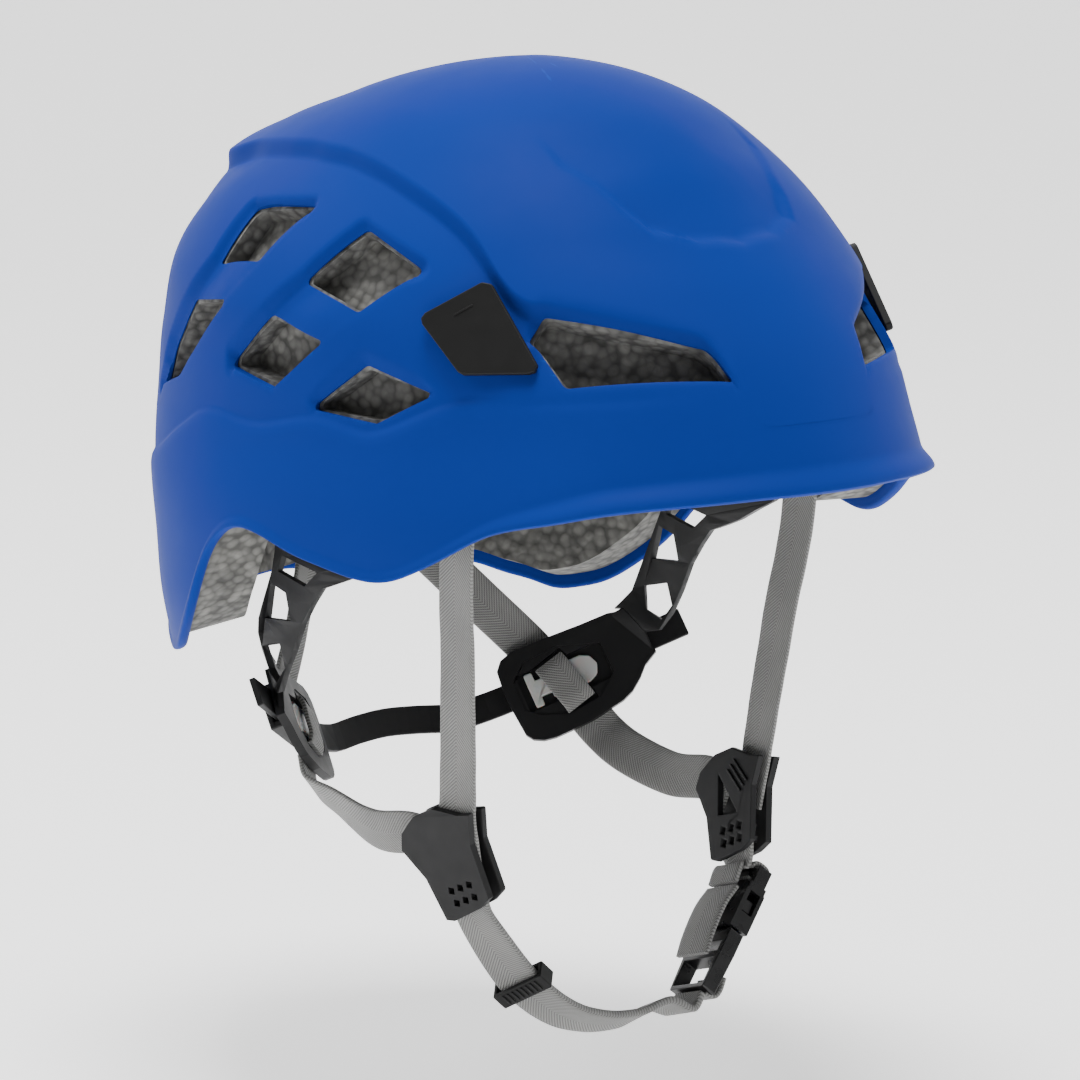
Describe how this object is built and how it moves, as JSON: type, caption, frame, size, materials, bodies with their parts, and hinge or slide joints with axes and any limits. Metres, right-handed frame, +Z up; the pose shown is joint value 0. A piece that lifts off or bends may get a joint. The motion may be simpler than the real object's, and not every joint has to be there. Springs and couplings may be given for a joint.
{
  "type": "climbing helmet",
  "caption": "Climbing helmet: blue moulded shell with side vents over grey bead foam, folding rear cradle, webbing harness, chin buckle and headlamp clips.",
  "frame": {"origin": "middle of the head space on the symmetry plane, 33 mm below the shell's front rim; it is the point the wearer's head holds the helmet by", "axes": "+Z up, -Y forward (the way the wearer faces), +X to the wearer's left"},
  "size_m": [0.2322, 0.2868, 0.3181],
  "materials": {
    "shell_abs": "satin-matte moulded ABS, blue",
    "liner_epp": "fused bead foam, mid grey",
    "liner_eps": "fine bead foam, light grey",
    "comfort_pad": "brushed knit over open foam, charcoal",
    "cradle_black": "fine-textured nylon, near black",
    "divider_grey": "soft-touch moulding, dark grey",
    "buckle_black": "semi-gloss acetal, black",
    "clip_black": "fine-textured rubbery plastic, black",
    "fitting_black": "moulded plastic, black",
    "pawl_white": "translucent milky acetal",
    "webbing_grey": "herringbone polyester webbing, light grey"
  },
  "bodies": {
    "shell_assembly": {"shell": "shell_abs", "crown_liner": "liner_eps", "side_liner": "liner_epp", "brow_pad": "comfort_pad", "crown_pad": "comfort_pad", "arm_stud_rear_left": "cradle_black", "arm_stud_rear_right": "cradle_black", "arm_stud_front_left": "cradle_black", "arm_stud_front_right": "cradle_black", "front_strap_left": "webbing_grey", "front_strap_right": "webbing_grey", "strap_anchor_front_left": "fitting_black", "strap_anchor_front_right": "fitting_black", "rear_strap_lower_left": "webbing_grey", "rear_strap_lower_right": "webbing_grey", "rear_strap_upper_left": "webbing_grey", "rear_strap_upper_right": "webbing_grey", "strap_anchor_rear": "fitting_black", "divider_cover_left": "divider_grey", "divider_cover_right": "divider_grey", "divider_back_left": "divider_grey", "divider_back_right": "divider_grey", "chin_strap": "webbing_grey", "buckle_socket": "buckle_black", "buckle_strap": "webbing_grey", "buckle_strap_loop": "webbing_grey", "buckle_backing": "webbing_grey"},
    "cradle": {"cradle_plate_left": "cradle_black", "cradle_plate_right": "cradle_black", "ratchet_case_left": "cradle_black", "ratchet_case_right": "cradle_black", "nape_band": "cradle_black", "cradle_arm_left": "cradle_black", "cradle_arm_right": "cradle_black", "rear_strap_loop_left": "webbing_grey", "rear_strap_loop_right": "webbing_grey"},
    "pawl_left": {"size_pawl_left": "pawl_white"},
    "pawl_right": {"size_pawl_right": "pawl_white"},
    "plug": {"buckle_plug": "buckle_black", "chin_strap_tail": "webbing_grey"},
    "prong_front": {"buckle_prong_front": "buckle_black"},
    "prong_rear": {"buckle_prong_rear": "buckle_black"},
    "keeper": {"strap_keeper": "fitting_black"},
    "clip_left": {"headlamp_clip_front_left": "clip_black"},
    "clip_right": {"headlamp_clip_front_right": "clip_black"}
  },
  "joints": [
    {"name": "cradle_fold", "type": "hinge", "parent": "shell_assembly", "child": "cradle", "pos_m": [0, 0, 0.01], "axis": [1, 0, 0], "range_deg": [-20, 15], "deforming": ["cradle_arm_left", "cradle_arm_right", "rear_strap_upper_left", "rear_strap_upper_right", "rear_strap_lower_left", "rear_strap_lower_right"]},
    {"name": "pawl_slide_left", "type": "slide", "parent": "cradle", "child": "pawl_left", "axis": [0.7624, -0.5195, 0.3858], "range_m": [-0.002, 0.003]},
    {"name": "pawl_slide_right", "type": "slide", "parent": "cradle", "child": "pawl_right", "axis": [-0.7624, -0.5195, 0.3858], "range_m": [-0.002, 0.003]},
    {"name": "buckle_release", "type": "slide", "parent": "shell_assembly", "child": "plug", "axis": [-0.6751, -0.146, -0.7231], "range_m": [0, 0.022], "deforming": ["chin_strap"]},
    {"name": "prong_squeeze_front", "type": "hinge", "parent": "plug", "child": "prong_front", "pos_m": [0.04623, -0.04279, -0.13188], "axis": [-0.7322, 0.252, 0.6327], "range_deg": [0, 9], "stiffness_Nm_per_rad": 0.02},
    {"name": "prong_squeeze_rear", "type": "hinge", "parent": "plug", "child": "prong_rear", "pos_m": [0.04722, -0.03227, -0.13492], "axis": [0.7322, -0.252, -0.6327], "range_deg": [0, 9], "stiffness_Nm_per_rad": 0.02},
    {"name": "keeper_slide", "type": "slide", "parent": "shell_assembly", "child": "keeper", "axis": [0.7217, -0.1203, -0.6816], "range_m": [-0.002, 0.006]},
    {"name": "clip_flex_right", "type": "hinge", "parent": "shell_assembly", "child": "clip_right", "pos_m": [-0.0854, -0.06, 0.0875], "axis": [-0.623, 0.61, -0.4898], "range_deg": [0, 5], "stiffness_Nm_per_rad": 0.4},
    {"name": "clip_flex_left", "type": "hinge", "parent": "shell_assembly", "child": "clip_left", "pos_m": [0.0854, -0.06, 0.0875], "axis": [-0.623, -0.61, 0.4898], "range_deg": [0, 5], "stiffness_Nm_per_rad": 0.4}
  ],
  "couplings": [
    {"joint": "prong_squeeze_rear", "follows": "prong_squeeze_front", "ratio": 1}
  ]
}
